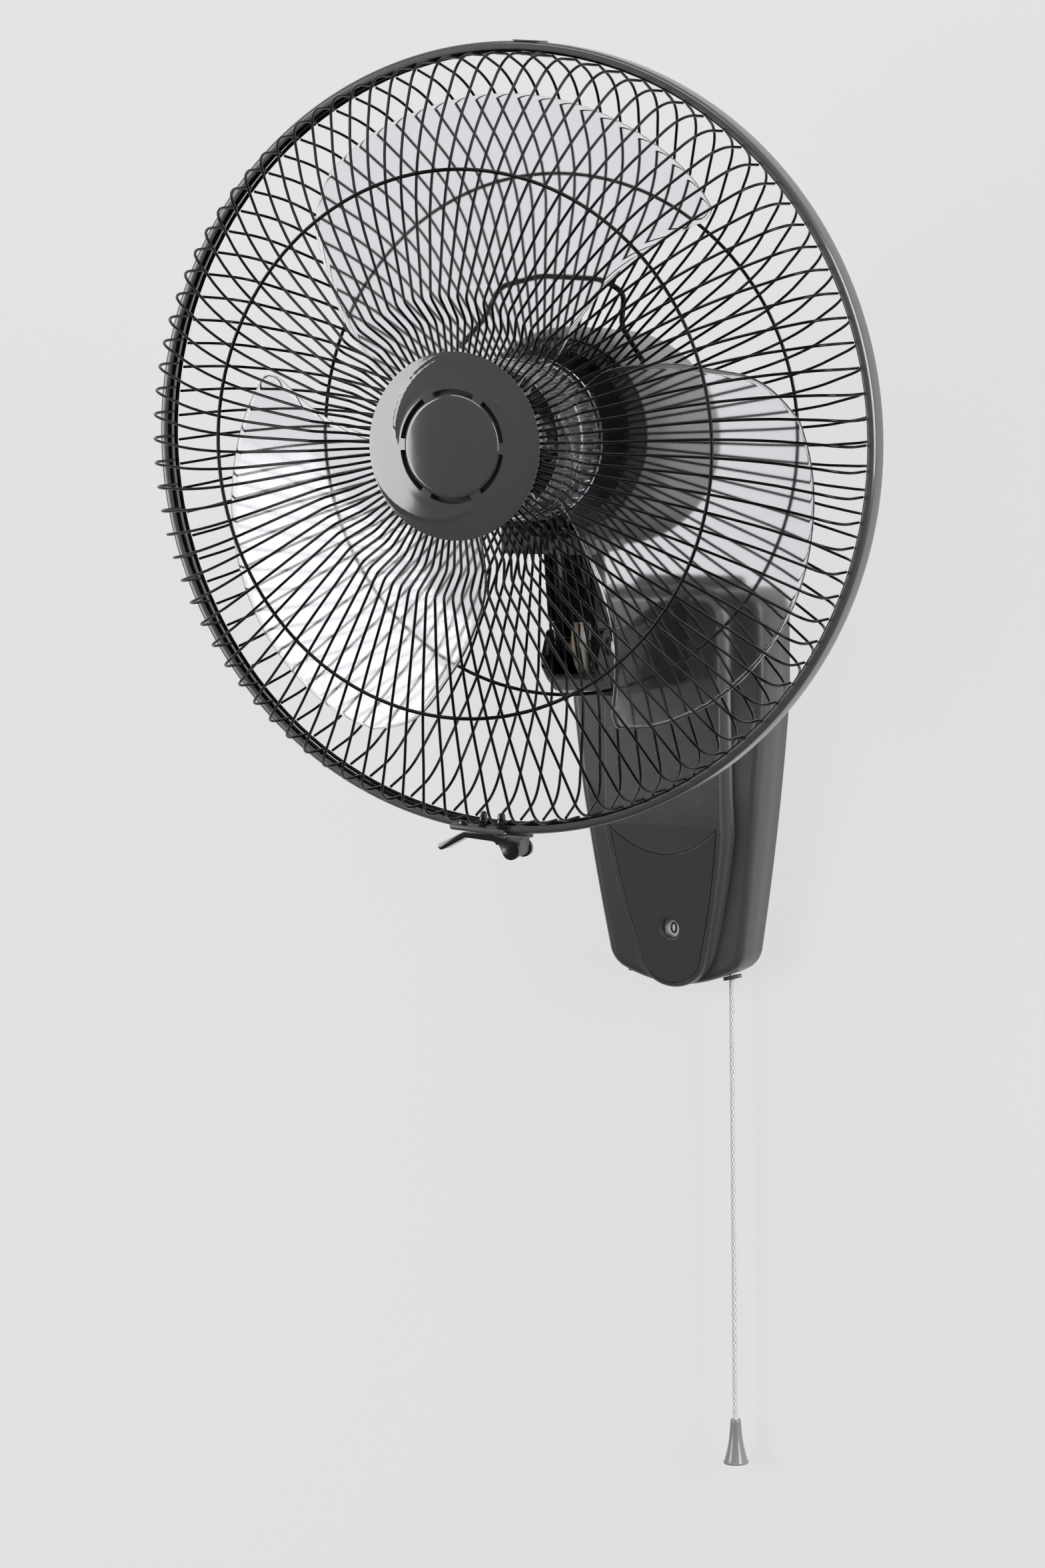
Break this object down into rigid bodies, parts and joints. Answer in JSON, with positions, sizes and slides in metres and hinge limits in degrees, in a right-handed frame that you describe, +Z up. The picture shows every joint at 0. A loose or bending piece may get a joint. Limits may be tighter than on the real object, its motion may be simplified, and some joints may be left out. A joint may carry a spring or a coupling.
{
  "type": "wall mounted fan",
  "caption": "Wall mounted fan with a round wire guard and clear blades, on a tilting and swinging neck above a tapered wall base with a pull cord.",
  "frame": {"origin": "centre of the four wall screw holes, on the wall side face of the wall plate", "axes": "+Z up, +Y into the wall, +X to the right for someone facing the fan, which blows along -Y"},
  "size_m": [0.44, 0.3337, 0.855],
  "materials": {
    "ring_grey": "smooth dark grey, faint sheen",
    "guard_wire": "gloss black coated steel wire",
    "badge_gloss": "glossy dark grey",
    "blade_clear": "clear smoky plastic, bright edges",
    "spinner_clear": "clear smoky plastic",
    "motor_black": "satin black",
    "motor_grey": "fine matte grey",
    "housing_plastic": "fine matte dark grey",
    "panel_gloss": "glossy near black",
    "inlay_gloss": "high gloss near black",
    "clear_lens": "clear",
    "grey_plastic": "matte mid grey",
    "latch_black": "satin black",
    "bell_grey": "satin grey",
    "cord_white": "braided white cord",
    "drum_white": "white",
    "lead_cream": "cream insulated lead",
    "lead_white": "white insulated lead",
    "black_rubber": "matte",
    "plate_steel": "dark coated steel",
    "fastener_steel": "zinc plated",
    "shaft_steel": "ground steel",
    "core_steel": "stacked steel sheets",
    "bearing_bronze": "sintered bronze",
    "inner_plastic": "moulded plastic"
  },
  "bodies": {
    "base": {"wall_plate": "plate_steel", "base_back": "housing_plastic", "base_shell": "housing_plastic", "base_panel": "panel_gloss", "base_inlay": "inlay_gloss", "window_lens": "clear_lens", "case_screws": "fastener_steel", "capacitor": "inner_plastic", "pull_switch": "inner_plastic", "cord_eyelet": "grey_plastic", "lead_grommet": "black_rubber", "neck_arm": "housing_plastic", "tilt_pin": "fastener_steel", "tilt_nut": "fastener_steel", "tilt_spacer": "fastener_steel", "lead_cream": "lead_cream", "lead_white": "lead_white"},
    "neck": {"neck_post": "housing_plastic", "pan_spindle": "fastener_steel"},
    "head": {"ring_band": "ring_grey", "front_guard": "guard_wire", "front_rim_hoop": "guard_wire", "front_mid_hoop": "guard_wire", "badge": "badge_gloss", "rear_guard": "guard_wire", "rear_rim_hoop": "guard_wire", "rear_mid_hoop": "guard_wire", "guard_handle": "guard_wire", "top_clip": "grey_plastic", "latch_lip": "grey_plastic", "latch_bracket": "grey_plastic", "latch_pin": "fastener_steel", "motor_front_cover": "motor_black", "motor_rear_cover": "motor_grey", "gearbox_case": "motor_grey", "stator": "core_steel", "bearings": "bearing_bronze", "bearing_bridge": "fastener_steel", "guard_nut": "motor_black"},
    "fan": {"blade": "blade_clear", "drive_pin": "fastener_steel", "shaft": "shaft_steel", "rotor": "core_steel", "spinner": "spinner_clear"},
    "latch": {"latch_lever": "latch_black"},
    "cord": {"pull_cord": "cord_white", "cord_stop": "inner_plastic", "bell_knob": "bell_grey"},
    "drum": {"speed_drum": "drum_white"}
  },
  "joints": [
    {"name": "tilt", "type": "hinge", "parent": "base", "child": "neck", "pos_m": [0, -0.158, 0.098], "axis": [1, 0, 0], "range_deg": [-10, 25]},
    {"name": "swing", "type": "hinge", "parent": "neck", "child": "head", "pos_m": [0, -0.166, 0.157], "axis": [0, 0, 1], "range_deg": [-45, 45]},
    {"name": "fan_spin", "type": "hinge", "parent": "head", "child": "fan", "pos_m": [0, -0.25, 0.22], "axis": [0, 1, 0], "continuous": true},
    {"name": "guard_latch", "type": "hinge", "parent": "head", "child": "latch", "pos_m": [0.00081, -0.25, -0.00916], "axis": [0, -1, 0], "range_deg": [0, 90]},
    {"name": "cord_pull", "type": "slide", "parent": "base", "child": "cord", "axis": [0, 0, -1], "range_m": [0, 0.012], "stiffness_N_per_m": 400, "springref_m": -0.004},
    {"name": "speed_drum_turn", "type": "hinge", "parent": "base", "child": "drum", "pos_m": [0, -0.0225, -0.082], "axis": [1, 0, 0], "range_deg": [0, 270]}
  ]
}
